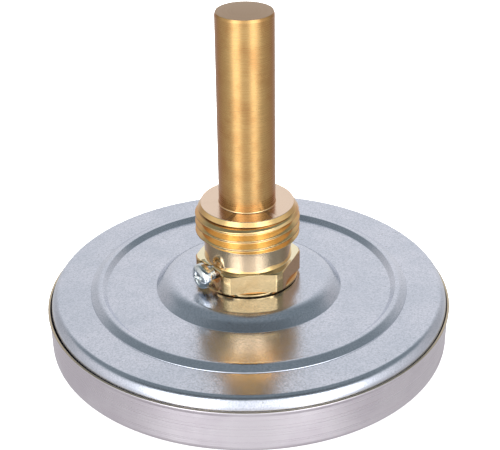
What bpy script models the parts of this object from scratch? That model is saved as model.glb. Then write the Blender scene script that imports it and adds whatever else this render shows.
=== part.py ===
"""Dial thermometer with a back-entry stem, a brass pocket and a side clamp screw.

The thermometer lies face down: its bezel rests on Z = 0 and the stem points up along +Z.
The origin is the centre of the bezel's front rim. Lengths below are in millimetres and
become metres in one place, the constant MM.
"""
import math

import bmesh
import bpy
from mathutils import Vector

MM = 0.001
GAP = 0.3                       # clearance between separate pieces
TURNED_STEPS = 40               # facets round a turned piece
INNER_STEPS = 28                # facets round a piece that is hidden in the case
SMALL_STEPS = 16                # facets round a thin shaft or a small bush

# Case: a pressed steel pan closed by a bezel
PAN_PLANE_Z = 12.0              # flat back of the pan
PAN_R = 40.4
PAN_SHEET = 0.7
PAN_RIM_RADIUS = 1.6
PAN_EDGE_Z = 4.5                # open edge, next to the gasket
BEAD_OUTER_R = 32.4             # raised ring pressed into the back
BEAD_INNER_R = 29.0
BEAD_HEIGHT = 0.9
DOME_R = 18.9                   # raised centre that carries the neck
DOME_TOP_R = 12.5
DOME_TOP_Z = 14.2
BEZEL_R = 41.1
BEZEL_SHEET = 0.4
BEZEL_LIP_Z = 9.4
BEZEL_CORNER_RADIUS = 1.6
BEZEL_OPENING_R = 36.6

# Window stack, from the front to the back
GLASS_R = 38.8
GLASS_FRONT_Z = 0.9
GLASS_THICKNESS = 2.0
GASKET_THICKNESS = 1.0
DIAL_Z = 6.4
DIAL_THICKNESS = 0.5
DIAL_R = 39.4
DIAL_HOLE_R = 2.6

# Stem and its neck
NECK_R = 5.6
NECK_TOP_Z = 22.2
STEM_R = 4.5
STEM_WALL = 0.5
STEM_BOTTOM_Z = 12.2
STEM_TIP_Z = 67.7
SPINDLE_R = 0.6
SPINDLE_FRONT_Z = 3.9
SPINDLE_TIP_Z = 65.5

# Bimetal coil
COIL_START_Z = 36.8
COIL_PITCH = 1.75
COIL_TURNS = 14
COIL_STRIP = 1.0                # width of the strip, along the stem
COIL_STRIP_THICKNESS = 0.35
COIL_R = 2.8

# Pointer
POINTER_Z = 4.8
POINTER_THICKNESS = 0.3
POINTER_REACH = 29.0
POINTER_TAIL = 8.0
STOP_PIN_R = 10.5               # distance of the stop pin from the spindle

# Pocket: hexagon with a G 1/2 thread, and a plain closed tube
HEX_BOTTOM_Z = 14.7
HEX_TOP_Z = 19.0
HEX_FLATS = 19.1
HEX_TURNED_R = 10.6
HEX_CHAMFER = 0.25
HEX_FOOT_R = 10.35              # round foot under the flats
HEX_FOOT_HEIGHT = 0.3
RELIEF_R = 8.8
RELIEF_TOP_Z = 23.5
PLUG_TOP_Z = 30.9
THREAD_MAJOR_R = 20.955 / 2     # G 1/2, ISO 228
THREAD_MINOR_R = 18.631 / 2
THREAD_PITCH = 25.4 / 14
THREAD_CREST_Z = 23.97          # a crest on the +X side
LEAD_R = 9.75                   # long lead-in chamfer at the open end of the thread
LEAD_HEIGHT = 2.2
TUBE_R = 5.65
TUBE_BORE_R = 4.85
TUBE_SEAT_Z = 25.0
TUBE_TIP_Z = 70.2
TUBE_CHAMFER = 0.3
TUBE_END_WALL = 1.4

# Clamp screw, M3 pan head with a cross recess
SCREW_Z = 17.5
SCREW_AZIMUTH = math.radians(217)
SCREW_HEAD_R = 2.6
SCREW_HEAD_HEIGHT = 2.2
SCREW_SEAT_R = 10.3             # distance of the head's underside from the stem's axis
SCREW_SHANK_R = 1.5
SCREW_TIP_R = NECK_R + GAP + 0.05
SPOT_FACE_R = 3.5
SPOT_FACE_DEPTH = 0.4


def clear_scene():
    """Remove everything that a new file starts with."""
    for thing in list(bpy.data.objects):
        bpy.data.objects.remove(thing, do_unlink=True)


def make_collection(name):
    """Add a collection to the scene."""
    collection = bpy.data.collections.new(name)
    bpy.context.scene.collection.children.link(collection)
    return collection


def make_material(name, colour, roughness, metallic):
    """Make a plain Principled material."""
    material = bpy.data.materials.new(name)
    material.use_nodes = True
    shader = material.node_tree.nodes["Principled BSDF"]
    shader.inputs["Base Color"].default_value = (*colour, 1.0)
    shader.inputs["Roughness"].default_value = roughness
    shader.inputs["Metallic"].default_value = metallic
    return material


clear_scene()
PARTS = make_collection("dial_thermometer")
CUTTERS = make_collection("cutters")

ZINC_STEEL = make_material("galvanised_steel", (0.55, 0.57, 0.62), 0.42, 1.0)
BRIGHT_STEEL = make_material("satin_steel", (0.66, 0.63, 0.66), 0.28, 1.0)
BRASS = make_material("brass", (0.80, 0.55, 0.24), 0.30, 1.0)
CHROME = make_material("plated_screw", (0.75, 0.77, 0.78), 0.15, 1.0)
GLASS = make_material("window", (0.90, 0.95, 0.95), 0.03, 0.0)
RUBBER = make_material("rubber", (0.03, 0.03, 0.03), 0.70, 0.0)
WHITE_PAINT = make_material("dial_white", (0.85, 0.85, 0.83), 0.50, 0.0)
BLACK_PAINT = make_material("pointer_black", (0.02, 0.02, 0.02), 0.45, 0.0)
POLYMER = make_material("ring_polymer", (0.75, 0.75, 0.73), 0.55, 0.0)
BIMETAL = make_material("bimetal", (0.45, 0.40, 0.36), 0.35, 1.0)


def polar(radius, angle):
    """Point at a radius and an angle in degrees."""
    return radius * math.cos(math.radians(angle)), radius * math.sin(math.radians(angle))


def arc(centre, radius, start, end, steps=4):
    """Points of an arc, with its ends, from one angle in degrees to another."""
    points = []
    for step in range(steps + 1):
        across, up = polar(radius, start + (end - start) * step / steps)
        points.append((centre[0] + across, centre[1] + up))
    return points


def ring(inner, outer, bottom, top):
    """Closed profile of a plain ring, down its outer side first."""
    return [(outer, top), (outer, bottom), (inner, bottom), (inner, top)]


def add_object(name, mesh, material, collection=PARTS):
    """Put a mesh into the model as a named object."""
    thing = bpy.data.objects.new(name, mesh)
    collection.objects.link(thing)
    if material:
        mesh.materials.append(material)
    if collection is CUTTERS:
        thing.hide_render = True
        thing.display_type = "WIRE"
    return thing


def profile_mesh(name, profile, closed):
    """A mesh of edges only, in the XZ plane, from points in millimetres."""
    mesh = bpy.data.meshes.new(name)
    points = [(across * MM, 0, up * MM) for across, up in profile]
    edges = [(index, index + 1) for index in range(len(points) - 1)]
    if closed:
        edges.append((len(points) - 1, 0))
    mesh.from_pydata(points, edges, [])
    return mesh


def turned(name, profile, material=None, closed=True, steps=TURNED_STEPS, collection=PARTS):
    """Turn a profile about Z. The profile runs down its outer side."""
    thing = add_object(name, profile_mesh(name, profile, closed), material, collection)
    screw = thing.modifiers.new("turn", "SCREW")
    screw.steps = screw.render_steps = steps
    screw.use_merge_vertices = True
    screw.merge_threshold = 0.000001
    return thing


def helix(name, profile, pitch, turns, steps, material=None, collection=PARTS):
    """Wind a closed profile upwards about Z and close its two ends."""
    guide = turned(name + "_guide", profile, steps=steps)
    guide.modifiers["turn"].screw_offset = pitch * MM
    guide.modifiers["turn"].iterations = turns
    guide.modifiers["turn"].use_merge_vertices = False
    bpy.context.view_layer.update()
    evaluated = guide.evaluated_get(bpy.context.evaluated_depsgraph_get())
    mesh = bpy.data.meshes.new_from_object(evaluated)
    mesh.name = name
    bpy.data.objects.remove(guide, do_unlink=True)
    shape = bmesh.new()
    shape.from_mesh(mesh)
    bmesh.ops.remove_doubles(shape, verts=shape.verts, dist=0.000001)
    open_edges = [edge for edge in shape.edges if edge.is_boundary]
    bmesh.ops.holes_fill(shape, edges=open_edges, sides=len(profile))
    bmesh.ops.recalc_face_normals(shape, faces=shape.faces)
    shape.to_mesh(mesh)
    shape.free()
    return add_object(name, mesh, material, collection)


def prism(name, sides, across_flats, bottom, top, turn, collection=CUTTERS):
    """A regular prism about Z with one flat facing the angle turn."""
    shape = bmesh.new()
    radius = across_flats / 2 / math.cos(math.pi / sides) * MM
    bmesh.ops.create_cone(
        shape, cap_ends=True, segments=sides, radius1=radius, radius2=radius, depth=(top - bottom) * MM
    )
    mesh = bpy.data.meshes.new(name)
    shape.to_mesh(mesh)
    shape.free()
    thing = add_object(name, mesh, None, collection)
    thing.location = (0, 0, (top + bottom) / 2 * MM)
    first_flat = math.pi / sides + math.pi / 2
    thing.rotation_euler = (0, 0, turn - first_flat)
    return thing


def box(name, size, place, collection=CUTTERS):
    """A box in millimetres, centred at a place."""
    shape = bmesh.new()
    bmesh.ops.create_cube(shape, size=1)
    bmesh.ops.scale(shape, vec=Vector(size) * MM, verts=shape.verts)
    mesh = bpy.data.meshes.new(name)
    shape.to_mesh(mesh)
    shape.free()
    thing = add_object(name, mesh, None, collection)
    thing.location = Vector(place) * MM
    return thing


def solidify(thing, thickness):
    """Give an open turned surface its sheet thickness, on its inner side."""
    shell = thing.modifiers.new("sheet", "SOLIDIFY")
    shell.thickness = thickness * MM
    shell.offset = -1
    shell.use_even_offset = True
    return thing


def combine(thing, other, operation):
    """Boolean one object with another."""
    boolean = thing.modifiers.new(other.name, "BOOLEAN")
    boolean.operation = operation
    boolean.object = other
    boolean.solver = "EXACT"
    return thing


def face_outwards(thing):
    """Lay a piece that was turned about Z along the clamp screw's axis."""
    thing.rotation_euler = (0, math.pi / 2, SCREW_AZIMUTH)
    thing.location = (0, 0, SCREW_Z * MM)
    return thing


def make_pivot(name, pieces, height=0.0):
    """Parent pieces on the Z axis to an empty that marks their joint."""
    pivot = bpy.data.objects.new(name, None)
    PARTS.objects.link(pivot)
    pivot.location = (0, 0, height * MM)
    bpy.context.view_layer.update()
    for piece in pieces:
        piece.parent = pivot
        piece.matrix_parent_inverse = pivot.matrix_world.inverted()
    return pivot


def make_case():
    """Pan and bezel, both pressed from sheet."""
    rim = arc((PAN_R - PAN_RIM_RADIUS, PAN_PLANE_Z - PAN_RIM_RADIUS), PAN_RIM_RADIUS, 90, 0)
    bead_half = (BEAD_OUTER_R - BEAD_INNER_R) / 2
    bead_radius = (bead_half**2 + BEAD_HEIGHT**2) / (2 * BEAD_HEIGHT)
    bead_centre = (BEAD_INNER_R + bead_half, PAN_PLANE_Z + BEAD_HEIGHT - bead_radius)
    bead_angle = math.degrees(math.asin(bead_half / bead_radius))
    bead = arc(bead_centre, bead_radius, 90 + bead_angle, 90 - bead_angle, 5)
    dome_rise = DOME_TOP_Z - PAN_PLANE_Z
    dome_run = DOME_R - DOME_TOP_R
    dome_radius = (dome_run**2 + dome_rise**2) / (2 * dome_rise)
    dome_angle = math.degrees(math.asin(dome_run / dome_radius))
    dome = arc((DOME_TOP_R, DOME_TOP_Z - dome_radius), dome_radius, 90, 90 - dome_angle)
    hole = (NECK_R + GAP, DOME_TOP_Z)
    pan = turned("rear_case", [hole, *dome, *bead, *rim, (PAN_R, PAN_EDGE_Z)], ZINC_STEEL, closed=False)
    solidify(pan, PAN_SHEET)

    corner_centre = (BEZEL_R - BEZEL_CORNER_RADIUS, BEZEL_CORNER_RADIUS)
    corner = arc(corner_centre, BEZEL_CORNER_RADIUS, 0, -90)
    front = [(BEZEL_R, BEZEL_LIP_Z), *corner, (BEZEL_OPENING_R, 0)]
    bezel = turned("bezel_ring", front, BRIGHT_STEEL, closed=False)
    solidify(bezel, BEZEL_SHEET)


def make_window_stack():
    """Glass, gasket, the two rings that hold the dial, the dial and its stop pin."""
    glass_back = GLASS_FRONT_Z + GLASS_THICKNESS
    glass = [(0, glass_back), (GLASS_R, glass_back), (GLASS_R, GLASS_FRONT_Z), (0, GLASS_FRONT_Z)]
    turned("window_glass", glass, GLASS, closed=False)
    gasket_front = glass_back + GAP
    gasket_back = gasket_front + GASKET_THICKNESS
    gasket = ring(DIAL_R - 2.0, PAN_R - 0.2, gasket_front, gasket_back)
    turned("window_gasket", gasket, RUBBER, steps=INNER_STEPS)
    spacer = ring(DIAL_R - 1.6, DIAL_R, gasket_back + GAP, DIAL_Z - GAP)
    turned("dial_spacer_ring", spacer, POLYMER, steps=INNER_STEPS)
    dial_back = DIAL_Z + DIAL_THICKNESS
    dial = turned("dial_plate", ring(DIAL_HOLE_R, DIAL_R, DIAL_Z, dial_back), WHITE_PAINT)
    support_top = PAN_PLANE_Z - PAN_SHEET - GAP
    support = ring(DIAL_R - 2.0, DIAL_R - 0.6, dial_back + GAP, support_top)
    turned("dial_support_ring", support, POLYMER, steps=INNER_STEPS)

    pin_hole = turned(
        "stop_pin_hole", solid_rod(0.5 + GAP, DIAL_Z - 1, dial_back + 1), None, False, SMALL_STEPS, CUTTERS
    )
    pin_hole.location = (0, -STOP_PIN_R * MM, 0)
    combine(dial, pin_hole, "DIFFERENCE")
    pin_foot = dial_back + GAP
    pin_profile = [(0, pin_foot + 0.6), (1.2, pin_foot + 0.6), (1.2, pin_foot)]
    pin_profile += [(0.5, pin_foot), (0.5, POINTER_Z - 0.6), (0, POINTER_Z - 0.6)]
    pin = turned("stop_pin", pin_profile, BRASS, False, SMALL_STEPS)
    pin.location = (0, -STOP_PIN_R * MM, 0)


def solid_rod(radius, bottom, top):
    """Open profile of a rod, from the axis at its top to the axis at its bottom."""
    return [(0, top), (radius, top), (radius, bottom), (0, bottom)]


def closed_tube(radius, bore, bottom, tip, end_wall, chamfer):
    """Closed profile of a tube with a flat, chamfered, closed upper end."""
    outside = [(0, tip), (radius - chamfer, tip), (radius, tip - chamfer), (radius, bottom)]
    return [*outside, (bore, bottom), (bore, tip - end_wall), (0, tip - end_wall)]


def make_stem():
    """Neck, stem tube and the fixed pieces inside it."""
    sleeve = ring(STEM_R + GAP, NECK_R, STEM_BOTTOM_Z, NECK_TOP_Z)
    turned("neck_sleeve", sleeve, BRASS, steps=INNER_STEPS)
    flange_top = DOME_TOP_Z - PAN_SHEET - GAP
    flange = ring(NECK_R + GAP, DOME_TOP_R - 2, flange_top - 1.2, flange_top)
    turned("neck_flange", flange, BRASS, steps=INNER_STEPS)
    ring_bottom = DOME_TOP_Z + GAP
    lock_ring = ring(NECK_R + GAP, NECK_R + 1.7, ring_bottom, ring_bottom + 0.6)
    turned("neck_lock_ring", lock_ring, BRIGHT_STEEL, steps=INNER_STEPS)
    stem_bore = STEM_R - STEM_WALL
    stem = closed_tube(STEM_R, stem_bore, STEM_BOTTOM_Z, STEM_TIP_Z, STEM_WALL + 0.2, 0.4)
    turned("stem_tube", stem, BRIGHT_STEEL, closed=False, steps=INNER_STEPS)
    bush_r = stem_bore - GAP
    bore_r = SPINDLE_R + GAP
    turned("dial_bearing", ring(bore_r, bush_r, 12.6, 15.0), BRASS, steps=SMALL_STEPS)
    coil_end = COIL_START_Z + COIL_PITCH * COIL_TURNS + COIL_STRIP
    anchor_bottom = coil_end + GAP
    bearing_r = 1.9
    anchor = ring(bearing_r + GAP, bush_r, anchor_bottom, STEM_TIP_Z - STEM_WALL - 0.2 - GAP)
    turned("coil_anchor", anchor, BRIGHT_STEEL, steps=SMALL_STEPS)
    turned("tip_bearing", ring(bore_r, bearing_r, anchor_bottom + 0.2, 66.2), BRASS, steps=SMALL_STEPS)
    strip_inner = COIL_R - COIL_STRIP_THICKNESS
    strip = ring(strip_inner, COIL_R, COIL_START_Z, COIL_START_Z + COIL_STRIP)
    helix("bimetal_coil", strip, COIL_PITCH, COIL_TURNS, 12, BIMETAL)


def make_pointer():
    """Spindle with its collars, hub and pointer blade. At rest the blade points along +X."""
    bore_r = SPINDLE_R + GAP
    spindle = turned(
        "spindle", solid_rod(SPINDLE_R, SPINDLE_FRONT_Z, SPINDLE_TIP_Z), BRIGHT_STEEL, False, SMALL_STEPS
    )
    collar_top = COIL_START_Z - GAP
    collar = turned("coil_collar", ring(bore_r, 2.9, collar_top - 2.4, collar_top), BRASS, steps=SMALL_STEPS)
    thrust = turned("thrust_collar", ring(bore_r, 1.9, 15.4, 16.6), BRASS, steps=SMALL_STEPS)
    blade_back = POINTER_Z + POINTER_THICKNESS
    hub_foot = blade_back + GAP
    hub_profile = [(2.2, hub_foot + 0.6), (2.2, hub_foot), (1.4, hub_foot)]
    hub_profile += [(1.4, POINTER_Z - 0.5), (bore_r, POINTER_Z - 0.5), (bore_r, hub_foot + 0.6)]
    hub = turned("pointer_hub", hub_profile, BRASS, steps=SMALL_STEPS)

    outline = [(POINTER_REACH, 0), (POINTER_REACH - 3, 0.45), (3.0, 1.1), *arc((0, 0), 3.2, 20, 160)]
    outline += [(-3.4, 0.9), (-POINTER_TAIL, 1.3)]
    curve = bpy.data.curves.new("pointer_outline", "CURVE")
    curve.dimensions = "2D"
    curve.fill_mode = "BOTH"
    curve.extrude = POINTER_THICKNESS / 2 * MM
    spline = curve.splines.new("POLY")
    loop = outline + [(across, -side) for across, side in reversed(outline) if side > 0]
    spline.points.add(len(loop) - 1)
    for point, (across, side) in zip(spline.points, loop):
        point.co = (across * MM, side * MM, 0, 1)
    spline.use_cyclic_u = True
    blank = bpy.data.objects.new("pointer_blank", curve)
    PARTS.objects.link(blank)
    blank.location = (0, 0, (POINTER_Z + POINTER_THICKNESS / 2) * MM)
    bpy.context.view_layer.update()
    mesh = bpy.data.meshes.new_from_object(blank.evaluated_get(bpy.context.evaluated_depsgraph_get()))
    shape = bmesh.new()
    shape.from_mesh(mesh)
    bmesh.ops.remove_doubles(shape, verts=shape.verts, dist=0.000001)
    bmesh.ops.recalc_face_normals(shape, faces=shape.faces)
    shape.to_mesh(mesh)
    shape.free()
    blade = add_object("pointer_blade", mesh, BLACK_PAINT)
    blade.matrix_world = blank.matrix_world
    bpy.data.objects.remove(blank, do_unlink=True)
    blade_hole = turned(
        "blade_hole", solid_rod(1.4 + GAP, POINTER_Z - 1, blade_back + 1), None, False, SMALL_STEPS, CUTTERS
    )
    combine(blade, blade_hole, "DIFFERENCE")
    make_pivot("pointer_axis", [spindle, collar, thrust, hub, blade])


def make_pocket():
    """Threaded hexagon plug, its tube and the clamp screw in the plug's side."""
    core_bottom = RELIEF_TOP_Z + 0.25
    foot_top = HEX_BOTTOM_Z + HEX_FOOT_HEIGHT
    outside = [(THREAD_MINOR_R, PLUG_TOP_Z), (THREAD_MINOR_R, core_bottom)]
    outside += [(RELIEF_R, RELIEF_TOP_Z), (RELIEF_R, HEX_TOP_Z), (HEX_TURNED_R - HEX_CHAMFER, HEX_TOP_Z)]
    outside += [(HEX_TURNED_R, HEX_TOP_Z - HEX_CHAMFER), (HEX_TURNED_R, foot_top)]
    outside += [(HEX_FOOT_R, foot_top), (HEX_FOOT_R, HEX_BOTTOM_Z)]
    lock_ring_room = NECK_R + 2.1
    room_top = HEX_BOTTOM_Z + 0.9
    inside = [(lock_ring_room, HEX_BOTTOM_Z), (lock_ring_room, room_top)]
    inside += [(NECK_R + 0.4, room_top), (NECK_R + 0.4, NECK_TOP_Z + 0.4)]
    inside += [(TUBE_BORE_R, NECK_TOP_Z + 0.4), (TUBE_BORE_R, TUBE_SEAT_Z - GAP)]
    inside += [(TUBE_R + GAP, TUBE_SEAT_Z - GAP), (TUBE_R + GAP, PLUG_TOP_Z)]
    plug = turned("pocket_plug", outside + inside, BRASS)

    hexagon = prism("hexagon", 6, HEX_FLATS, HEX_BOTTOM_Z - 1, RELIEF_TOP_Z, SCREW_AZIMUTH)
    around_hexagon = turned("around_hexagon", ring(RELIEF_R + 0.2, 14, foot_top, 22.0), collection=CUTTERS)
    combine(around_hexagon, hexagon, "DIFFERENCE")
    combine(plug, around_hexagon, "DIFFERENCE")

    root_r = THREAD_MINOR_R - 0.2
    crest = 0.16
    half_root = THREAD_PITCH / 2 - 0.01
    tooth = [(THREAD_MAJOR_R, crest), (THREAD_MAJOR_R, -crest), (root_r, -half_root), (root_r, half_root)]
    start = THREAD_CREST_Z - THREAD_PITCH
    tooth = [(radius, height + start) for radius, height in tooth]
    thread = helix("thread", tooth, THREAD_PITCH, 6, 28, collection=CUTTERS)
    thread_top = PLUG_TOP_Z - 0.2
    thread_bottom = core_bottom + 0.1
    limit_r = THREAD_MAJOR_R + 0.1
    limit = [(LEAD_R, thread_top), (limit_r, thread_top - LEAD_HEIGHT)]
    limit += [(limit_r, thread_bottom + 0.3), (THREAD_MINOR_R + 0.1, thread_bottom)]
    limit += [(root_r - 0.8, thread_bottom), (root_r - 0.8, thread_top)]
    thread_limit = turned("thread_limit", limit, collection=CUTTERS)
    combine(thread, thread_limit, "INTERSECT")
    combine(plug, thread, "UNION")

    spot_inner = HEX_FLATS / 2 - SPOT_FACE_DEPTH
    drill = [(0, 13), (SPOT_FACE_R + 0.4, 13), (SPOT_FACE_R + 0.4, HEX_FLATS / 2 + 0.001)]
    drill += [(SPOT_FACE_R, spot_inner), (SCREW_SHANK_R + GAP, spot_inner)]
    drill += [(SCREW_SHANK_R + GAP, 5.0), (0, 5.0)]
    screw_hole = turned("screw_hole", drill, closed=False, steps=SMALL_STEPS, collection=CUTTERS)
    face_outwards(screw_hole)
    combine(plug, screw_hole, "DIFFERENCE")

    tube_profile = closed_tube(TUBE_R, TUBE_BORE_R, TUBE_SEAT_Z, TUBE_TIP_Z, TUBE_END_WALL, TUBE_CHAMFER)
    tube = turned("pocket_tube", tube_profile, BRASS, closed=False)
    screw = make_clamp_screw()
    make_pivot("pocket_axis", [plug, tube, screw], HEX_BOTTOM_Z)


def make_clamp_screw():
    """Pan head screw, turned about Z and laid along its own axis."""
    head_top = SCREW_SEAT_R + SCREW_HEAD_HEIGHT
    dome = arc((SCREW_HEAD_R - 1.1, head_top - 1.1), 1.1, 90, 0, 4)
    profile = [(0, head_top), *dome, (SCREW_HEAD_R, SCREW_SEAT_R), (SCREW_SHANK_R, SCREW_SEAT_R)]
    profile += [(SCREW_SHANK_R, SCREW_TIP_R + 0.3), (SCREW_SHANK_R - 0.3, SCREW_TIP_R), (0, SCREW_TIP_R)]
    screw = turned("clamp_screw", profile, CHROME, False, SMALL_STEPS)
    recess_depth = 1.2
    slot_long = box("recess_slot_a", (3.0, 0.7, 2 * recess_depth), (0, 0, head_top))
    slot_cross = box("recess_slot_b", (0.7, 3.0, 2 * recess_depth), (0, 0, head_top))
    combine(slot_long, slot_cross, "UNION")
    for cutter in (slot_long, slot_cross):
        cutter.parent = screw
    combine(screw, slot_long, "DIFFERENCE")
    return face_outwards(screw)


def shade_round():
    """Shade the turned pieces smooth and keep their edges."""
    for thing in PARTS.objects:
        if thing.type == "MESH":
            thing.data.shade_smooth()
            thing.data.set_sharp_from_angle(angle=math.radians(30))


make_case()
make_window_stack()
make_stem()
make_pointer()
make_pocket()
shade_round()
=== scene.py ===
import math

import bmesh
import bpy
import numpy as np
from mathutils import Matrix, Vector


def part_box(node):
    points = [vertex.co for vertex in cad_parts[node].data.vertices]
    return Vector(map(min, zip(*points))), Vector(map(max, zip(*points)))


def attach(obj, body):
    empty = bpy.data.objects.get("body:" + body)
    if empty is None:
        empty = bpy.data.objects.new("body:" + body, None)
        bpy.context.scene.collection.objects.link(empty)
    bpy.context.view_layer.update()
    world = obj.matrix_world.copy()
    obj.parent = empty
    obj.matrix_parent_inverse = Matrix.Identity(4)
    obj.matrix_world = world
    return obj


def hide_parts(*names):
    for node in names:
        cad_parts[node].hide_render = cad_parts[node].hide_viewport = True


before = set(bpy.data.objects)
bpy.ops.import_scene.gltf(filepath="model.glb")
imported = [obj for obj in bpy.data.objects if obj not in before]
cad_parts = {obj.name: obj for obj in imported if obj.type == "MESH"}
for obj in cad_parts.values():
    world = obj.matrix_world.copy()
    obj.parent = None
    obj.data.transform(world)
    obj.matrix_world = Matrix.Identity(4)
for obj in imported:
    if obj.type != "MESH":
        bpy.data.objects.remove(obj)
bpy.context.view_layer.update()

# The looks of a dial thermometer that lies face down. Lengths are in millimetres and
# become metres through MM. Outer sizes are read from the CAD nodes' boxes.
MM = 0.001


def top(node):
    """Highest point of a CAD node, in millimetres."""
    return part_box(node)[1][2] / MM


def bottom(node):
    """Lowest point of a CAD node, in millimetres."""
    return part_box(node)[0][2] / MM


def radius(node):
    """Outer radius of a turned CAD node, in millimetres."""
    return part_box(node)[1][0] / MM


# Case: a pressed pan in a thin bezel
PAN_R = radius("rear_case") + 0.05
PAN_EDGE_Z = bottom("rear_case")
DOME_TOP_Z = top("rear_case")
PAN_PLANE_Z = DOME_TOP_Z - 2.2
PAN_SHEET = 0.7
PAN_RIM_RADIUS = 1.6            # the rim's rounding, across
PAN_RIM_DROP = 2.7              # the same, downwards
PAN_SHIFT = (0.07, -0.24, 0)    # the pan isn't quite in the middle of the bezel
BEAD_OUTER_R = 32.4
BEAD_INNER_R = 29.0
BEAD_HEIGHT = 0.9
BEAD_INNER_RUN = 1.0            # width of the bead's inner slope
BEAD_OUTER_RUN = 1.6            # width of its outer slope
BEAD_STEP = 0.14                # small step at the foot of the outer slope
DOME_R = 18.95
DOME_TOP_R = 16.5
DOME_ROUNDING = 4
FLAT_MARGIN = 1.5               # where the flat back is wholly flat, beside a bead or dome
BEZEL_R = radius("bezel_ring")
BEZEL_LIP_Z = top("bezel_ring")
BEZEL_SHEET = 0.4
BEZEL_LIP_FLARE = 0.1
BEZEL_LEAN = 0.1                # how far the wall leans in towards the dial
BEZEL_CORNER_RADIUS = 1.6
BEZEL_OPENING_R = 36.6

# Stem
NECK_R = radius("neck_sleeve")
STEM_R = radius("stem_tube")
STEM_WALL = 0.5
STEM_END_WALL = 0.7

# Pocket: the threaded plug and its tube
PLUG_BOTTOM_Z = bottom("pocket_plug")
PLUG_TOP_Z = top("pocket_plug")
HEX_TOP_Z = PLUG_BOTTOM_Z + 4.3
HEX_FLATS = 19.1
HEX_TURNED_R = 10.6
HEX_CORNER_DROP = 0.22          # how far the turned corners fall below the hexagon's top
HEX_FOOT_R = 10.1
HEX_FOOT_HEIGHT = 0.2
HEX_FOOT_DROP = 0.3
RELIEF_R = 8.8
RELIEF_TOP_Z = HEX_TOP_Z + 4.9
UNDERCUT_SLOPE = 9              # of the thread's lower end
THREAD_MAJOR_R = 20.955 / 2
THREAD_MINOR_R = 18.631 / 2
THREAD_PITCH = 25.4 / 14
THREAD_CREST_Z = 23.97          # a crest on the +X side
THREAD_ROWS = 190
LEAD_R = 9.3
LEAD_HEIGHT = 2.18
LAND_HEIGHT = 0.95              # above the first groove
GROOVE_SHADE_R = (9.5, 9.9)             # the first groove's painted shade fades out between these radii
GROOVE_SHADE_DEPTH = (1.5, 1.3)         # and between these depths below the groove's top
RING_RECESS_R = NECK_R + 2.1
RING_RECESS_DEPTH = 0.9
NECK_BORE_R = NECK_R + 0.4
NECK_BORE_DEPTH = 7.9
STEM_BORE_R = STEM_R + 0.35
STEM_BORE_DEPTH = 10.0
TUBE_R = radius("pocket_tube")
TUBE_WALL = 0.8
TUBE_END_WALL = 1.4
JOINT_RING_HEIGHT = 0.2         # thin ring where the tube enters the plug

# Clamp screw, along its own axis
SCREW_AZIMUTH = math.radians(217)
SCREW_Z = 17.5
SCREW_SEAT_R = 10.7
SCREW_HEAD_R = 2.6
SCREW_HEAD_HEIGHT = 1.8
SCREW_CROWN = 0.12
SCREW_SHANK_R = 1.5
SCREW_PITCH = 0.5
SCREW_THREAD_DEPTH = 0.3
SCREW_TIP_R = 5.95
SPOT_FACE_R = 3.5
SPOT_FACE_DEPTH = 0.4
RECESS_ARM = 1.65
RECESS_HALF_WIDTH = 0.36
RECESS_DEPTH = 1.5

# Dial
SCALE_START = math.radians(-45)     # the place of 0; the scale turns counter-clockwise from above
SCALE_SWEEP = math.radians(270)
SCALE_TOP = 120
SCALE_R = 33.5
MARKS = ((20, 4.5, 0.7), (10, 3.4, 0.45), (2, 2.2, 0.25))      # every so many degrees: length and width
NUMBER_R = 24.5
NUMBER_SIZE = 5.2
UNIT_R = 12.0
UNIT_SIZE = 5.5
INK_THICKNESS = 0.03

STEPS = 288                     # facets round a turned piece
SMALL_STEPS = 96                # facets round a small one


# ---------------------------------------------------------------- shapes

def fillet(corners, closed=True, steps=5):
    """Points of a path whose corners (across, up, radius) are rounded by true arcs."""
    points = []
    count = len(corners)
    for index, (across, up, size) in enumerate(corners):
        corner = Vector((across, up))
        if size == 0 or not closed and index in (0, count - 1):
            points.append((across, up))
            continue
        before = Vector(corners[index - 1][:2]) - corner
        after = Vector(corners[(index + 1) % count][:2]) - corner
        half = before.angle(after) / 2
        reach = min(size / math.tan(half), before.length * 0.48, after.length * 0.48)
        start = corner + before.normalized() * reach
        end = corner + after.normalized() * reach
        weight = math.sin(half)
        for step in range(steps + 1):
            part = step / steps
            shares = ((1 - part) ** 2, 2 * weight * part * (1 - part), part**2)
            point = (start * shares[0] + corner * shares[1] + end * shares[2]) / sum(shares)
            points.append(tuple(point))
    return points


def inset(path, distance):
    """The path moved sideways to its right, for the inner side of a sheet."""
    points = np.array(path)
    along = np.gradient(points, axis=0)
    along /= np.linalg.norm(along, axis=1)[:, None]
    sideways = np.stack([along[:, 1], -along[:, 0]], axis=1)
    return [tuple(point) for point in points + sideways * distance]


def link(name, data):
    """Put a mesh, a curve, a lamp or a camera into the scene as an object."""
    thing = bpy.data.objects.new(name, data)
    bpy.context.scene.collection.objects.link(thing)
    return thing


def add_piece(name, mesh, body, *nodes):
    """Link a mesh as a piece that rides on a body and stands for CAD nodes."""
    piece = link(name, mesh)
    if nodes:
        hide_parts(*nodes)
    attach(piece, body)
    return piece


def to_mesh(shape, name):
    """A new mesh from a bmesh, which is freed."""
    mesh = bpy.data.meshes.new(name)
    shape.to_mesh(mesh)
    shape.free()
    return mesh


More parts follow.
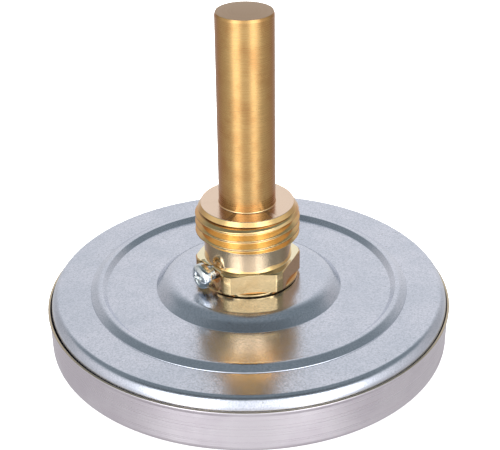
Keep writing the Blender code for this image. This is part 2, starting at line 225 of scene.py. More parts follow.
def skin(name, columns, closed=True):
    """A closed mesh over columns of points in millimetres, which stand round the Z axis."""
    columns = np.asarray(columns)
    rounds, rows = columns.shape[:2]
    last = rows if closed else rows - 1
    faces = []
    for column in range(rounds):
        here, following = column * rows, (column + 1) % rounds * rows
        for row in range(last):
            below = (row + 1) % rows
            faces.append((here + row, here + below, following + below, following + row))
    mesh = bpy.data.meshes.new(name)
    mesh.from_pydata((columns.reshape(-1, 3) * MM).tolist(), [], faces)
    shape = bmesh.new()
    shape.from_mesh(mesh)
    bmesh.ops.remove_doubles(shape, verts=shape.verts, dist=1e-7)
    bmesh.ops.recalc_face_normals(shape, faces=shape.faces)
    shape.to_mesh(mesh)
    shape.free()
    mesh.shade_smooth()
    return mesh


def stand(profile, angle):
    """Points of one outline, turned to an angle about Z."""
    across, up = np.array(profile).T
    return np.stack([across * math.cos(angle), across * math.sin(angle), up], axis=1)


def around(profile, steps=STEPS):
    """Columns of one outline, turned about Z."""
    return [stand(profile, angle) for angle in np.linspace(0, 2 * math.pi, steps, endpoint=False)]


def turned(name, corners, body, *nodes, closed=True):
    """A turned piece from its corners (across, up, rounding)."""
    piece = add_piece(name, skin(name, around(fillet(corners, closed)), closed), body, *nodes)
    even_shading(piece)
    return piece


def even_shading(piece):
    """Keep flat faces flat next to their rounded edges."""
    piece.modifiers.new("even_shading", "WEIGHTED_NORMAL").weight = 90


def apply_modifiers(piece):
    """Replace a piece's mesh by its evaluated one."""
    bpy.context.view_layer.update()
    evaluated = piece.evaluated_get(bpy.context.evaluated_depsgraph_get())
    mesh = bpy.data.meshes.new_from_object(evaluated)
    piece.modifiers.clear()
    piece.data = mesh


def cut(piece, cutter):
    """Take a cutter's shape out of a piece, and the cutter out of the scene."""
    boolean = piece.modifiers.new(cutter.name, "BOOLEAN")
    boolean.operation = "DIFFERENCE"
    boolean.object = cutter
    apply_modifiers(piece)
    bpy.data.objects.remove(cutter, do_unlink=True)


def ring_corners(inner, outer, low, high, rounding):
    """Corners of a plain ring."""
    places = ((outer, high), (outer, low), (inner, low), (inner, high))
    return [(across, up, rounding) for across, up in places]


# ---------------------------------------------------------------- materials

LEVEL_SCALE = 3.0               # a float curve holds 0 to 1


class Nodes:
    """Short ways to add nodes to a material or a world."""

    def __init__(self, tree, place):
        self.tree = tree
        self.place = self.add("ShaderNodeTexCoord").outputs[place]

    def set(self, node, inputs):
        """Give inputs their values or link them to sockets."""
        for key, value in inputs.items():
            socket = node.inputs[key]
            if isinstance(value, bpy.types.NodeSocket):
                self.tree.links.new(value, socket)
            elif isinstance(value, tuple) and len(value) == 3 and socket.type == "RGBA":
                socket.default_value = (*value, 1.0)
            else:
                socket.default_value = value
        return node

    def add(self, kind, inputs=None, **settings):
        """Add a node with its settings and inputs."""
        node = self.tree.nodes.new(kind)
        for key, value in settings.items():
            setattr(node, key, value)
        return self.set(node, inputs or {})

    def math(self, operation, first, second=0.0, third=0.0):
        """A Math node's result."""
        inputs = {0: first, 1: second, 2: third}
        return self.add("ShaderNodeMath", inputs, operation=operation).outputs[0]

    def spread(self, value, low, high, new_low=0.0, new_high=1.0):
        """Map one range of a value to another, with soft ends."""
        inputs = {"Value": value, "From Min": low, "From Max": high, "To Min": new_low, "To Max": new_high}
        return self.add("ShaderNodeMapRange", inputs, interpolation_type="SMOOTHSTEP").outputs["Result"]

    def noise(self, size_mm, stretch=(1, 1, 1), detail=3.0, vector=None):
        """Noise whose features are about size_mm across, drawn out by stretch."""
        inputs = {"Vector": vector or self.place, "Scale": tuple(1 / part for part in stretch)}
        scaled = self.add("ShaderNodeMapping", inputs).outputs["Vector"]
        inputs = {"Vector": scaled, "Scale": 1 / (size_mm * MM), "Detail": detail, "Roughness": 0.6}
        return self.add("ShaderNodeTexNoise", inputs).outputs["Fac"]

    def mix(self, factor, first, second):
        """Blend two colours."""
        return self.add("ShaderNodeMix", {0: factor, 6: first, 7: second}, data_type="RGBA").outputs[2]

    def blend(self, factor, first, second):
        """Blend two numbers."""
        return self.add("ShaderNodeMix", {0: factor, 2: first, 3: second}, data_type="FLOAT").outputs[0]

    def ring_of_levels(self, azimuth, levels):
        """A value that follows (degrees, level) pairs round the horizon."""
        share = self.math("DIVIDE", self.math("ADD", azimuth, 180.0), 360.0)
        curve = self.add("ShaderNodeFloatCurve", {"Value": share})
        points = curve.mapping.curves[0].points
        curve.mapping.use_clip = False
        for degrees, level in levels[1:-1]:
            points.new((degrees + 180) / 360, level / LEVEL_SCALE)
        points[0].location = (0, levels[0][1] / LEVEL_SCALE)
        points[len(points) - 1].location = (1, levels[-1][1] / LEVEL_SCALE)
        for point in points:
            point.handle_type = "VECTOR"
        curve.mapping.update()
        return self.math("MULTIPLY", curve.outputs[0], LEVEL_SCALE)


class Shader(Nodes):
    """A Principled material whose patterns follow the piece."""

    def __init__(self, name, colour, roughness, metallic=1.0):
        self.material = bpy.data.materials.new(name)
        self.material.use_nodes = True
        super().__init__(self.material.node_tree, "Object")
        self.main = self.tree.nodes["Principled BSDF"]
        self.set(self.main, {"Base Color": colour, "Roughness": roughness, "Metallic": metallic})

    def millimetres(self):
        """The point's own place on the piece, in millimetres."""
        inputs = {0: self.place, 1: (1000.0,) * 3}
        return self.add("ShaderNodeVectorMath", inputs, operation="MULTIPLY").outputs[0]

    def height(self):
        """Height on the piece, in millimetres."""
        return self.add("ShaderNodeSeparateXYZ", {"Vector": self.millimetres()}).outputs["Z"]

    def across(self):
        """Distance from the Z axis, in millimetres."""
        inputs = {0: self.millimetres(), 1: (1.0, 1.0, 0.0)}
        flat = self.add("ShaderNodeVectorMath", inputs, operation="MULTIPLY").outputs[0]
        return self.add("ShaderNodeVectorMath", {0: flat}, operation="LENGTH").outputs["Value"]

    def bump(self, height, depth_mm, normal=None):
        """A bump of a real depth, over an earlier one if there is one."""
        inputs = {"Height": height, "Distance": depth_mm * MM, "Strength": 1.0}
        if normal:
            inputs["Normal"] = normal
        return self.add("ShaderNodeBump", inputs).outputs["Normal"]

    def turning_rings(self, size_mm):
        """Fine rings about Z, as a lathe leaves them, on walls and on flat faces."""
        x, y, z = self.add("ShaderNodeSeparateXYZ", {"Vector": self.place}).outputs
        squares = self.math("ADD", self.math("MULTIPLY", x, x), self.math("MULTIPLY", y, y))
        across = self.math("SQRT", squares)
        place = self.add("ShaderNodeCombineXYZ", {0: across, 1: z, 2: 0.0}).outputs[0]
        return self.noise(size_mm, detail=2.0, vector=place)

    def finished(self, colour, roughness, normal):
        """The material, with its colour, roughness and bumps in place."""
        self.set(self.main, {"Base Color": colour, "Roughness": roughness, "Normal": normal})
        return self.material


def zinc_sheet():
    """Galvanised sheet: pale, grainy, with small specks and faint scratches."""
    shader = Shader("galvanised_sheet", (0.63, 0.65, 0.71), 0.25)
    clouds = shader.noise(9.0, detail=4.0)
    grain = shader.noise(0.32, detail=2.0)
    specks = shader.spread(shader.noise(0.9, detail=1.0), 0.70, 0.78)
    colour = shader.mix(shader.spread(clouds, 0.3, 0.7), (0.66, 0.69, 0.79), (0.75, 0.765, 0.865))
    colour = shader.mix(shader.spread(grain, 0.35, 0.7, 0.0, 0.5), colour, (0.45, 0.50, 0.57))
    colour = shader.mix(shader.math("MULTIPLY", specks, 0.35), colour, (0.33, 0.33, 0.36))
    scratches = shader.spread(shader.noise(0.5, stretch=(24, 1, 1), detail=1.0), 0.72, 0.76)
    roughness = shader.spread(grain, 0.2, 0.8, 0.17, 0.27)
    normal = shader.bump(scratches, 0.004, shader.bump(grain, 0.007))
    return shader.finished(colour, roughness, normal)


def satin_steel():
    """Plated steel strip with a soft sheen, marks that run round it and a dull cut edge."""
    shader = Shader("satin_plate", (0.70, 0.66, 0.70), 0.3)
    clouds = shader.noise(12.0, detail=3.0)
    rings = shader.turning_rings(0.35)
    grain = shader.noise(0.15, detail=2.0)
    colour = shader.mix(shader.spread(clouds, 0.35, 0.65), (0.70, 0.66, 0.71), (0.78, 0.75, 0.79))
    colour = shader.mix(shader.spread(grain, 0.5, 0.8, 0.0, 0.15), colour, (0.45, 0.42, 0.46))
    cut_edge = shader.spread(shader.height(), BEZEL_LIP_Z - 0.07, BEZEL_LIP_Z - 0.03)
    colour = shader.mix(cut_edge, colour, (0.66, 0.55, 0.40))
    roughness = shader.spread(rings, 0.3, 0.7, 0.26, 0.36)
    normal = shader.bump(grain, 0.003, shader.bump(rings, 0.0016))
    return shader.finished(colour, roughness, normal)


def groove_soil(shader, groove_top):
    """How much painted shade darkens the thread's first groove: 0.8 there, none elsewhere."""
    height = shader.height()
    deep = shader.spread(shader.across(), *GROOVE_SHADE_R, 1.0, 0.0)
    above = shader.spread(height, groove_top - GROOVE_SHADE_DEPTH[0], groove_top - GROOVE_SHADE_DEPTH[1])
    below = shader.spread(height, groove_top, groove_top + 0.1, 0.8, 0.0)
    return shader.math("MULTIPLY", shader.math("MULTIPLY", deep, above), below)


def brass(name, light, deep, roughness, bands, groove_top=None):
    """Turned brass with rings and small pits. Its sides, where the view grazes them, get painted shade in a
    darker orange-brown; some heights get other colours, the collar's top a paler painted reflection; the
    first groove can get painted shade.
    """
    shader = Shader(name, light, roughness)
    clouds = shader.noise(5.0, detail=5.0)
    rings = shader.turning_rings(0.25)
    pits = shader.spread(shader.noise(0.30, detail=2.0), 0.62, 0.75)
    colour = shader.mix(shader.spread(clouds, 0.38, 0.68), light, deep)
    colour = shader.mix(shader.math("MULTIPLY", pits, 0.35), colour, tuple(part * 0.5 for part in deep))
    # Painted shade: where the view grazes the brass, at its sides, the colour turns a darker orange-brown.
    facing = shader.add("ShaderNodeLayerWeight", {"Blend": 0.5}).outputs["Facing"]
    side_shade = shader.spread(facing, 0.2, 0.75, 0.0, 0.8)
    shaded_side_colour = (deep[0] * 0.82, deep[1] * 0.55, deep[2] * 0.42)
    colour = shader.mix(side_shade, colour, shaded_side_colour)
    rough = shader.spread(rings, 0.3, 0.7, roughness - 0.04, roughness + 0.06)
    height = shader.height()
    for middle, reach, seen_square, seen_side_shaded, duller in bands:
        band = shader.math("COMPARE", height, middle, reach)
        colour = shader.mix(band, colour, shader.mix(side_shade, seen_square, seen_side_shaded))
        rough = shader.math("ADD", rough, shader.math("MULTIPLY", band, duller))
    if groove_top:
        # Painted shade: the thread's first groove is darkened to a near-black brown.
        colour = shader.mix(groove_soil(shader, groove_top), colour, (0.20, 0.10, 0.04))
    normal = shader.bump(pits, -0.004, shader.bump(rings, 0.004))
    return shader.finished(colour, rough, normal)


def bright_zinc():
    """Bright plating of a small screw."""
    shader = Shader("bright_plate", (0.80, 0.83, 0.84), 0.12)
    blotches = shader.noise(0.8, detail=3.0)
    colour = shader.mix(shader.spread(blotches, 0.4, 0.7), (0.82, 0.86, 0.87), (0.62, 0.66, 0.66))
    roughness = shader.spread(blotches, 0.3, 0.7, 0.08, 0.2)
    return shader.finished(colour, roughness, shader.bump(blotches, 0.02))


def plain(name, colour, other, roughness, metallic=0.0, grain_mm=0.3, depth_mm=0.004):
    """A quieter finish for small and inner pieces: two close colours and a fine grain."""
    shader = Shader(name, colour, roughness, metallic)
    grain = shader.noise(grain_mm)
    colour = shader.mix(shader.spread(shader.noise(4.0), 0.35, 0.65), colour, other)
    rough = shader.spread(grain, 0.2, 0.8, roughness - 0.05, roughness + 0.08)
    return shader.finished(colour, rough, shader.bump(grain, depth_mm))


def window():
    """Clear glass with faint wipe marks."""
    shader = Shader("clear_glass", (0.97, 0.99, 0.98), 0.02, 0.0)
    marks = shader.spread(shader.noise(2.5, stretch=(6, 1, 1)), 0.55, 0.8, 0.01, 0.06)
    shader.set(shader.main, {"Transmission Weight": 1.0, "IOR": 1.5, "Roughness": marks})
    return shader.material


# Each band: middle height, reach up and down, colours seen square on and at the grazing sides (the latter
# with painted side shade), added roughness
FACE_REACH = 0.04
TUBE_END = (0.50, 0.35, 0.235)
PLUG_FACE = (0.88, 0.68, 0.53)
# The collar's flat top is paler than the brass: a painted reflection of the relief's highlights, which that
# ring mirrors.
HEX_TOP_PAINTED_REFLECTION = (0.98, 0.88, 0.62)
TUBE_BANDS = [(top("pocket_tube"), FACE_REACH, TUBE_END, TUBE_END, 0.2)]
PLUG_BANDS = [
    (PLUG_TOP_Z, FACE_REACH, PLUG_FACE, PLUG_FACE, 0.05),
    # the collar's top, with its painted reflection
    (HEX_TOP_Z, FACE_REACH, HEX_TOP_PAINTED_REFLECTION, HEX_TOP_PAINTED_REFLECTION, 0.0),
    (HEX_TOP_Z + 2.35, 2.2, (0.95, 0.70, 0.43), (0.74, 0.42, 0.2), -0.02),         # relief
    (PLUG_TOP_Z - 0.55, 0.48, (0.88, 0.58, 0.25), (0.68, 0.38, 0.16), -0.03),      # lead-in
]
FIRST_GROOVE_Z = PLUG_TOP_Z - LAND_HEIGHT

ZINC = zinc_sheet()
SATIN = satin_steel()
BRASS_TUBE = brass("tube_brass", (0.57, 0.36, 0.145), (0.49, 0.275, 0.105), 0.24, TUBE_BANDS)
BRASS_PLUG = brass("plug_brass", (0.90, 0.66, 0.33), (0.80, 0.54, 0.24), 0.14, PLUG_BANDS, FIRST_GROOVE_Z)
SCREW_PLATE = bright_zinc()
STEEL = plain("drawn_steel", (0.62, 0.62, 0.63), (0.55, 0.55, 0.57), 0.28, 1.0)
DULL_BRASS = plain("bush_brass", (0.80, 0.58, 0.28), (0.70, 0.48, 0.22), 0.32, 1.0)
COIL_STRIP = plain("bimetal_strip", (0.48, 0.43, 0.38), (0.40, 0.34, 0.30), 0.34, 1.0)
RUBBER = plain("seal_rubber", (0.03, 0.03, 0.03), (0.045, 0.045, 0.045), 0.65, 0.0, 0.4, 0.02)
RING_POLYMER = plain("ring_polymer", (0.72, 0.72, 0.69), (0.66, 0.66, 0.63), 0.5, 0.0, 0.5, 0.01)
DIAL_WHITE = plain("dial_enamel", (0.86, 0.86, 0.84), (0.83, 0.83, 0.80), 0.42, 0.0, 0.6, 0.004)
INK = plain("dial_ink", (0.015, 0.015, 0.018), (0.03, 0.03, 0.035), 0.45, 0.0)
GLASS = window()


def finish(piece, material):
    """Give a piece its material."""
    piece.data.materials.clear()
    piece.data.materials.append(material)


# ---------------------------------------------------------------- case

def make_pan():
    """The pressed pan: domed centre, ring bead and rounded rim, of one even sheet."""
    bead_top = PAN_PLANE_Z + BEAD_HEIGHT
    corners = [(NECK_R + 0.3, DOME_TOP_Z, 0), (NECK_R + 3, DOME_TOP_Z, 0)]
    corners += [(DOME_TOP_R, DOME_TOP_Z, DOME_ROUNDING), (DOME_R, PAN_PLANE_Z, 0.25)]
    corners += [(DOME_R + FLAT_MARGIN, PAN_PLANE_Z, 0), (BEAD_INNER_R - FLAT_MARGIN, PAN_PLANE_Z, 0)]
    corners += [(BEAD_INNER_R, PAN_PLANE_Z, 0.12), (BEAD_INNER_R + BEAD_INNER_RUN, bead_top, 0.35)]
    corners += [(BEAD_OUTER_R - BEAD_OUTER_RUN, bead_top, 1.3)]
    corners += [(BEAD_OUTER_R - 0.1, PAN_PLANE_Z + BEAD_STEP, 0.05)]
    corners += [(BEAD_OUTER_R - 0.05, PAN_PLANE_Z, 0.05), (BEAD_OUTER_R + FLAT_MARGIN, PAN_PLANE_Z, 0)]
    for turn in np.radians(np.linspace(0, 90, 19)):
        across = PAN_R - PAN_RIM_RADIUS + PAN_RIM_RADIUS * math.sin(turn)
        corners.append((across, PAN_PLANE_Z - PAN_RIM_DROP * (1 - math.cos(turn)), 0))
    corners += [(PAN_R, PAN_PLANE_Z - PAN_RIM_DROP - 1, 0), (PAN_R, PAN_EDGE_Z, 0)]
    outside = fillet(corners, closed=False, steps=6)
    mesh = skin("pan", around(outside + inset(outside, PAN_SHEET)[::-1]))
    mesh.transform(Matrix.Translation(Vector(PAN_SHIFT) * MM))
    pan = add_piece("pan", mesh, "case", "rear_case")
    even_shading(pan)
    finish(pan, ZINC)


def make_bezel():
    """The bezel, a thin ring with a turned-in front rim and a rounded lip."""
    lip_r = BEZEL_R + BEZEL_LIP_FLARE
    wall = BEZEL_R - 0.15
    inner = BEZEL_R - BEZEL_SHEET
    corners = [(lip_r, BEZEL_LIP_Z, 0.14), (lip_r, BEZEL_LIP_Z - 0.35, 0.2), (wall, BEZEL_LIP_Z - 0.9, 0.6)]
    corners += [(wall - BEZEL_LEAN, 0, BEZEL_CORNER_RADIUS)]
    corners += [(BEZEL_OPENING_R, 0, 0.15), (BEZEL_OPENING_R, BEZEL_SHEET, 0.15)]
    corners += [(inner - BEZEL_LEAN, BEZEL_SHEET, BEZEL_CORNER_RADIUS - BEZEL_SHEET)]
    corners += [(inner, BEZEL_LIP_Z - 1, 0.3), (inner + 0.02, BEZEL_LIP_Z, 0.12)]
    bezel = add_piece("bezel", skin("bezel", around(fillet(corners, steps=10))), "case", "bezel_ring")
    even_shading(bezel)
    finish(bezel, SATIN)


# ---------------------------------------------------------------- pocket

def hexagon_angles():
    """Angles round the plug that fall on the corners between flats and turned parts."""
    edge = math.acos(HEX_FLATS / 2 / HEX_TURNED_R)
    angles = []
    for flat in range(6):
        middle = SCREW_AZIMUTH + flat * math.pi / 3
        angles.extend(np.linspace(middle - edge, middle + edge, 44, endpoint=False))
        angles.extend(np.linspace(middle + edge, middle + math.pi / 3 - edge, 8, endpoint=False))
    return angles


def flat_distance(angle):
    """Distance of the hexagon's outside from the axis, with its turned corners."""
    turn = (angle - SCREW_AZIMUTH + math.pi / 6) % (math.pi / 3) - math.pi / 6
    return min(HEX_FLATS / 2 / math.cos(turn), HEX_TURNED_R)


def thread_radius(angle, height, pitch, minor, major):
    """Outside of a right-hand thread with narrow crests and rounded roots."""
    phase = (height / pitch - angle / (2 * math.pi) + 0.5) % 1
    flank = 1 - abs(2 * phase - 1)
    return minor + (major - minor) * min(max(flank * 1.32 - 0.16, 0), 1)


def plug_body(angle):
    """The plug's outline from its relief down the hexagon, up through the bore and over its top."""
    outside = flat_distance(angle)
    drop = HEX_CORNER_DROP * (outside - HEX_FLATS / 2) / (HEX_TURNED_R - HEX_FLATS / 2)
    flats_end = PLUG_BOTTOM_Z + HEX_FOOT_HEIGHT
    foot_edge = HEX_FOOT_R if outside < HEX_FOOT_R else outside - 0.02
    foot_z = PLUG_BOTTOM_Z - HEX_FOOT_DROP
    recess_z = PLUG_BOTTOM_Z + RING_RECESS_DEPTH
    neck_z = PLUG_BOTTOM_Z + NECK_BORE_DEPTH
    seat_z = PLUG_BOTTOM_Z + STEM_BORE_DEPTH
    joint_z = PLUG_TOP_Z + JOINT_RING_HEIGHT
    path = [(RELIEF_R, RELIEF_TOP_Z - 0.1, 0.02), (RELIEF_R, RELIEF_TOP_Z - 0.3, 0)]
    path += [(RELIEF_R, HEX_TOP_Z, 0.12)]
    path += [(outside - 0.03 - drop, HEX_TOP_Z, 0.03), (outside, HEX_TOP_Z - 0.06 - drop, 0.03)]
    path += [(outside, flats_end, 0.04), (foot_edge, flats_end - 0.04, 0.05)]
    path += [(HEX_FOOT_R, foot_z, 0.1), (RING_RECESS_R, foot_z, 0.1)]
    path += [(RING_RECESS_R, recess_z, 0.05), (NECK_BORE_R, recess_z, 0.05), (NECK_BORE_R, neck_z, 0.05)]
    path += [(STEM_BORE_R, neck_z, 0.05), (STEM_BORE_R, seat_z, 0.05)]
    path += [(TUBE_R + 0.02, seat_z, 0.02), (TUBE_R + 0.02, joint_z, 0.02)]
    path += [(TUBE_R + 0.07, joint_z, 0.02), (TUBE_R + 0.1, PLUG_TOP_Z, 0.04)]
    path += [(LEAD_R, PLUG_TOP_Z, 0.04), (LEAD_R + 0.02, PLUG_TOP_Z - 0.05, 0)]
    return fillet(path, closed=False, steps=4)


def plug_thread(angle):
    """The plug's outline from its lead-in chamfer down the thread to the undercut."""
    slope = (THREAD_MAJOR_R + 0.1 - LEAD_R) / LEAD_HEIGHT
    points = []
    for height in np.linspace(RELIEF_TOP_Z + 0.05, PLUG_TOP_Z - 0.05, THREAD_ROWS)[::-1]:
        outer = thread_radius(angle, height - THREAD_CREST_Z, THREAD_PITCH, THREAD_MINOR_R, THREAD_MAJOR_R)
        if height > FIRST_GROOVE_Z:
            outer = THREAD_MAJOR_R
        lead = LEAD_R + (PLUG_TOP_Z - height) * slope
        undercut = RELIEF_R + (height - RELIEF_TOP_Z) * UNDERCUT_SLOPE
        points.append((min(outer, lead, undercut), height))
    return points


def screw_place():
    """Where the clamp screw's own Z axis lies."""
    turn = Matrix.Rotation(SCREW_AZIMUTH, 4, "Z") @ Matrix.Rotation(math.pi / 2, 4, "Y")
    return Matrix.Translation((0, 0, SCREW_Z * MM)) @ turn


def make_plug():
    """The threaded plug as one skin, with a spot face and a hole for the screw."""
    columns = [stand(plug_body(angle) + plug_thread(angle), angle) for angle in hexagon_angles()]
    plug = add_piece("plug", skin("plug", columns), "pocket", "pocket_plug")
    flat, hole_r, beyond, inside = HEX_FLATS / 2, SCREW_SHANK_R + 0.05, 13, 5
    wide, spot = SPOT_FACE_R + 0.4, flat - SPOT_FACE_DEPTH
    corners = [(0, beyond, 0), (wide, beyond, 0), (wide, flat + 0.02, 0), (SPOT_FACE_R, spot, 0.15)]
    corners += [(hole_r, spot, 0), (hole_r, inside, 0), (0, inside, 0)]
    drill = link("drill", skin("drill", around(fillet(corners, False), SMALL_STEPS), False))
    drill.matrix_world = screw_place()
    cut(plug, drill)
    plug.data.set_sharp_from_angle(angle=math.radians(32))
    even_shading(plug)
    finish(plug, BRASS_PLUG)


def make_tube():
    """The pocket's plain tube with its flat closed end."""
    low, tip = bottom("pocket_tube"), top("pocket_tube")
    bore, end = TUBE_R - TUBE_WALL, tip - TUBE_END_WALL
    corners = [(0, tip, 0), (TUBE_R - 0.2, tip, 0.06), (TUBE_R, tip - 0.55, 0.2), (TUBE_R, low, 0.06)]
    corners += [(bore, low, 0.06), (bore, end, 0.06), (0, end, 0)]
    finish(turned("tube", corners, "pocket", "pocket_tube", closed=False), BRASS_TUBE)


def screw_shank(angle):
    """Outline of the screw's thread, which fades out at both ends, and of its tip."""
    start = SCREW_SEAT_R - 0.3
    points = []
    for height in np.linspace(start, SCREW_TIP_R + 0.2, 70):
        fade = min(1, (start - height) / 0.4, (height - SCREW_TIP_R) / 0.4)
        minor = SCREW_SHANK_R - SCREW_THREAD_DEPTH * max(fade, 0)
        points.append((thread_radius(angle, height, SCREW_PITCH, minor, SCREW_SHANK_R), height))
    return points + [(SCREW_SHANK_R - 0.45, SCREW_TIP_R), (0, SCREW_TIP_R)]


def make_clamp_screw():
    """Pan head screw with a cross recess and a real thread."""
    shoulder = SCREW_SEAT_R + SCREW_HEAD_HEIGHT
    crown = shoulder + SCREW_CROWN
    head = [(0, crown, 0), (SCREW_HEAD_R * 0.55, shoulder + 0.05, 0.5)]
    head += [(SCREW_HEAD_R, shoulder - 0.35, 0.9), (SCREW_HEAD_R, SCREW_SEAT_R, 0.12)]
    head += [(SCREW_SHANK_R, SCREW_SEAT_R, 0.08)]
    head = fillet(head + [(SCREW_SHANK_R, SCREW_SEAT_R - 0.3, 0)], closed=False)
    angles = np.linspace(0, 2 * math.pi, SMALL_STEPS, endpoint=False)
    columns = [stand(head + screw_shank(angle), angle) for angle in angles]
    screw = link("screw", skin("screw", columns, closed=False))
    cut(screw, cross_recess(crown))
    screw.data.transform(screw_place())
    screw.data.set_sharp_from_angle(angle=math.radians(35))
    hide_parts("clamp_screw")
    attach(screw, "clamp_screw")
    even_shading(screw)
    finish(screw, SCREW_PLATE)


def cross_recess(crown):
    """Cutter for a tapered cross recess: a four-armed outline that narrows downwards."""
    half = RECESS_HALF_WIDTH
    outline = []
    for quarter in range(4):
        turn = Matrix.Rotation(quarter * math.pi / 2 + math.radians(20), 2)
        for across, side in ((half, -half), (RECESS_ARM, -half * 0.8), (RECESS_ARM, half * 0.8)):
            outline.append(turn @ Vector((across, side)))
    shape = bmesh.new()
    rims = []
    for scale, height in ((1.05, crown + 0.3), (0.35, crown - RECESS_DEPTH)):
        places = [(point.x * scale * MM, point.y * scale * MM, height * MM) for point in outline]
        rims.append([shape.verts.new(place) for place in places])
    upper, lower = rims
    shape.faces.new(upper)
    shape.faces.new(lower[::-1])
    for index in range(len(outline)):
        following = (index + 1) % len(outline)
        shape.faces.new((upper[index], lower[index], lower[following], upper[following]))
    bmesh.ops.recalc_face_normals(shape, faces=shape.faces)
    return link("recess", to_mesh(shape, "recess"))


# ---------------------------------------------------------------- stem and dial

def make_stem():
    """Stem, sleeve and lock ring, which show when the pocket is drawn off."""
    low, tip = bottom("stem_tube"), top("stem_tube")
    bore, end = STEM_R - STEM_WALL, tip - STEM_END_WALL
    stem = [(0, tip, 0), (STEM_R - 0.4, tip, 0.06), (STEM_R, tip - 0.4, 0.06), (STEM_R, low, 0.06)]
    stem += [(bore, low, 0.06), (bore, end, 0.06), (0, end, 0)]
    finish(turned("stem", stem, "case", "stem_tube", closed=False), STEEL)
    sleeve = ring_corners(STEM_R + 0.02, NECK_R, bottom("neck_sleeve"), top("neck_sleeve"), 0.2)
    finish(turned("sleeve", sleeve, "case", "neck_sleeve"), DULL_BRASS)
    low, high = bottom("neck_lock_ring"), top("neck_lock_ring")
    lock_ring = ring_corners(NECK_R + 0.02, radius("neck_lock_ring"), low, high, 0.12)
    finish(turned("lock_ring", lock_ring, "case", "neck_lock_ring"), STEEL)


def make_window():
    """Glass with a small ground chamfer."""
    low, high = bottom("window_glass"), top("window_glass")
    outer = radius("window_glass")
    corners = [(0, high, 0), (outer - 0.3, high, 0.05), (outer, high - 0.3, 0.05), (outer, low + 0.3, 0.05)]
    corners += [(outer - 0.3, low, 0.05), (0, low, 0)]
    finish(turned("glass", corners, "case", "window_glass", closed=False), GLASS)


def scale_angle(value):
    """Where a temperature is on the dial."""
    return SCALE_START + SCALE_SWEEP * value / SCALE_TOP


def make_marks():
    """The scale's printed marks, on the dial's front, which faces down."""
    middle_z = bottom("dial_plate") - INK_THICKNESS / 2
    shape = bmesh.new()
    for value in range(0, SCALE_TOP + 1, MARKS[-1][0]):
        length, width = next(size for every, *size in MARKS if value % every == 0)
        place = Matrix.Translation(((SCALE_R - length / 2) * MM, 0, middle_z * MM))
        size = Matrix.Diagonal((length * MM, width * MM, INK_THICKNESS * MM, 1))
        turn = Matrix.Rotation(scale_angle(value), 4, "Z")
        bmesh.ops.create_cube(shape, size=1, matrix=turn @ place @ size)
    finish(add_piece("scale_marks", to_mesh(shape, "scale_marks"), "case"), INK)


def make_label(name, text, distance, angle, size):
    """One number or sign on the dial, to be read from below."""
    curve = bpy.data.curves.new(name, "FONT")
    curve.body = text
    curve.size = size * MM
    curve.align_x = "CENTER"
    curve.align_y = "CENTER"
    curve.extrude = 0.012 * MM
    curve.resolution_u = 4
    label = link(name, curve)
    place = Vector((distance * math.cos(angle), distance * math.sin(angle), bottom("dial_plate") - 0.02))
    label.matrix_world = Matrix.Translation(place * MM) @ Matrix.Rotation(math.pi, 4, "Y")
    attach(label, "case")
    finish(label, INK)


def make_scale():
    """Marks, numbers and the sign for degrees."""
    make_marks()
    for value in range(0, SCALE_TOP + 1, MARKS[0][0]):
        make_label(f"label_{value}", str(value), NUMBER_R, scale_angle(value), NUMBER_SIZE)
    make_label("label_deg_C", "°C", UNIT_R, math.radians(90), UNIT_SIZE)


CARRIED_OVER = {
    "window_gasket": RUBBER,
    "dial_spacer_ring": RING_POLYMER,
    "dial_support_ring": RING_POLYMER,
    "dial_plate": DIAL_WHITE,
    "stop_pin": DULL_BRASS,
    "neck_flange": DULL_BRASS,
    "dial_bearing": DULL_BRASS,
    "tip_bearing": DULL_BRASS,
    "coil_anchor": STEEL,
    "bimetal_coil": COIL_STRIP,
    "spindle": STEEL,
    "coil_collar": DULL_BRASS,
    "thrust_collar": DULL_BRASS,
    "pointer_hub": DULL_BRASS,
    "pointer_blade": INK,
}


def finish_inner_nodes():
    """Give the CAD nodes that stay their materials."""
    for name, material in CARRIED_OVER.items():
        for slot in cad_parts[name].material_slots:
            slot.material = material


# ---------------------------------------------------------------- studio

FLOOR_REACH = 4                 # metres from the middle to each side
FLOOR_GLOW = 0.7
LAMP_SIZE = 1.6                 # metres
LAMP_HEIGHT = 1.2               # metres
LAMP_POWER = 30                 # watts


def make_floor():
    """Plain pale floor."""
    shape = bmesh.new()
    bmesh.ops.create_grid(shape, x_segments=1, y_segments=1, size=FLOOR_REACH)
    floor = link("floor", to_mesh(shape, "floor"))
    paper = Shader("paper", (0.93, 0.93, 0.93), 0.8, 0.0)
    glow = {"Emission Color": (1.0, 1.0, 1.0), "Emission Strength": FLOOR_GLOW}
    paper.set(paper.main, {"Specular IOR Level": 0.0, **glow})
    floor.data.materials.append(paper.material)
    floor.visible_glossy = False


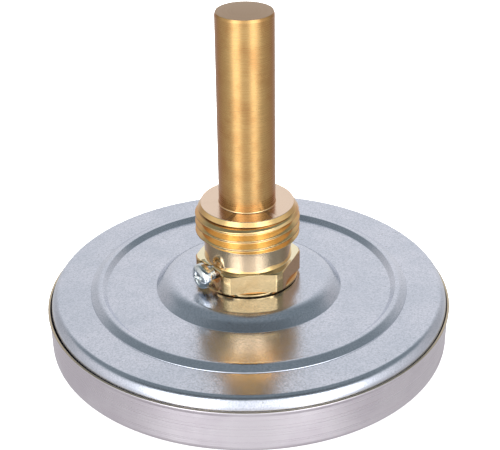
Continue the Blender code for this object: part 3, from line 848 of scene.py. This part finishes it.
# Brightness of the studio round the horizon, as (azimuth in degrees, level).
# Azimuth 0 is the camera's side. The walls' levels count above the horizon, the floor's
# below it, and the near levels steeply below it.
WALL_LEVELS = [
    (-180, 0.88), (-165, 0.82), (-150, 0.72), (-138, 0.60), (-127, 0.5), (-112, 0.55), (-97, 0.68),
    (-84, 0.8), (-66, 1.0), (-54, 1.6), (-46, 2.8), (-40, 3.0), (-24, 3.0), (-16, 1.9), (-10, 1.35),
    (0, 1.25), (12, 1.4), (20, 1.8), (26, 3.0), (48, 3.0), (58, 1.9), (66, 1.1), (84, 0.8), (97, 0.66),
    (112, 0.5), (127, 0.5), (140, 0.65), (150, 0.78), (165, 0.88), (180, 0.88),
]
FLOOR_LEVELS = [
    (-180, 0.7), (-120, 0.6), (-84, 0.65), (-62, 0.8), (-50, 1.3), (-42, 2.1), (-27, 2.1), (-17, 1.25),
    (-8, 0.95), (8, 0.92), (16, 1.15), (26, 2.0), (38, 2.0), (49, 1.05), (64, 0.65), (90, 0.58),
    (120, 0.55), (180, 0.7),
]
NEAR_LEVELS = [
    (-180, 0.56), (-60, 0.58), (-30, 0.67), (-8, 0.80), (8, 0.75), (20, 0.75), (60, 0.58), (180, 0.56),
]
CEILING_LEVEL = 0.27
FRONT_CEILING_LEVEL = 0.12
CEILING_TINT = (0.88, 1.03, 1.08)
LOW_TINT = (1.0, 0.965, 1.0)
WHITE = (1.0, 1.0, 1.0)

# Where one part of the studio fades into the next, as angles in degrees. The first four are
# heights over the horizon. The last three run over the top, from the horizon before the camera.
FLOOR_FADE = (-12, -22)
NEAR_FADE = (-30, -36)
LOW_TINT_FADE = (-34, -27)
CEILING_FADE = (16, 36)
CEILING_FRONT_FADE = (32, 43)
CEILING_MIDDLE_FADE = (60, 84)
CEILING_BACK_FADE = (120, 146)


def make_world():
    """Soft studio: two tall softboxes beside the camera, a dark ceiling, pale walls."""
    world = bpy.data.worlds.new("studio")
    bpy.context.scene.world = world
    world.use_nodes = True
    studio = Nodes(world.node_tree, "Generated")
    x, y, z = studio.add("ShaderNodeSeparateXYZ", {"Vector": studio.place}).outputs
    back = studio.math("MULTIPLY", y, -1.0)
    to_degrees = 180 / math.pi
    azimuth = studio.math("MULTIPLY", studio.math("ARCTAN2", x, back), to_degrees)
    height = studio.math("MULTIPLY", studio.math("ARCSINE", z), to_degrees)
    overhead = studio.math("MULTIPLY", studio.math("ARCTAN2", z, back), to_degrees)

    walls = studio.ring_of_levels(azimuth, WALL_LEVELS)
    floor = studio.ring_of_levels(azimuth, FLOOR_LEVELS)
    near = studio.ring_of_levels(azimuth, NEAR_LEVELS)
    level = studio.blend(studio.spread(height, *FLOOR_FADE), walls, floor)
    level = studio.blend(studio.spread(height, *NEAR_FADE), level, near)

    front_end = studio.spread(overhead, *CEILING_FRONT_FADE)
    back_end = studio.spread(overhead, *CEILING_BACK_FADE, 1.0, 0.0)
    between = studio.math("MULTIPLY", front_end, back_end)
    ceiling = studio.math("MULTIPLY", between, studio.spread(height, *CEILING_FADE))
    middle = studio.spread(overhead, *CEILING_MIDDLE_FADE)
    level = studio.blend(ceiling, level, studio.blend(middle, FRONT_CEILING_LEVEL, CEILING_LEVEL))

    tint = studio.mix(studio.spread(height, *LOW_TINT_FADE), LOW_TINT, WHITE)
    tint = studio.mix(ceiling, tint, CEILING_TINT)
    seen = studio.add("ShaderNodeLightPath").outputs["Is Camera Ray"]
    backdrop = {"Color": studio.mix(seen, tint, WHITE), "Strength": studio.blend(seen, level, 1.0)}
    studio.set(world.node_tree.nodes["Background"], backdrop)


def make_lights():
    """A broad lamp over the floor, for soft shadows. Glossy finishes don't reflect it."""
    lamp = bpy.data.lights.new("overhead", "AREA")
    lamp.shape = "DISK"
    lamp.size = LAMP_SIZE
    lamp.energy = LAMP_POWER
    overhead = link("overhead", lamp)
    overhead.location = (0, 0, LAMP_HEIGHT)
    overhead.visible_glossy = False


CAMERA_PLACE = (2.5, -220.5, 145.1)
CAMERA_DOWN = math.radians(28.52)
CAMERA_LEFT = math.radians(0.52)
CAMERA_ROLL = math.radians(-0.78)
CAMERA_LENS = 89.8


def make_camera():
    """The camera, a little to the right of the stem and well above the dial."""
    camera = link("camera", bpy.data.cameras.new("camera"))
    camera.data.lens = CAMERA_LENS
    camera.data.sensor_width = 36
    camera.data.clip_start = 0.01
    turn = Matrix.Rotation(CAMERA_LEFT, 4, "Z") @ Matrix.Rotation(math.pi / 2 - CAMERA_DOWN, 4, "X")
    turn = turn @ Matrix.Rotation(CAMERA_ROLL, 4, "Z")
    camera.matrix_world = Matrix.Translation(Vector(CAMERA_PLACE) * MM) @ turn
    bpy.context.scene.camera = camera


make_pan()
make_bezel()
make_plug()
make_tube()
make_clamp_screw()
make_stem()
make_window()
make_scale()
finish_inner_nodes()
make_floor()
make_world()
make_lights()
make_camera()
bpy.context.scene.view_settings.view_transform = "Standard"
bpy.context.view_layer.update()
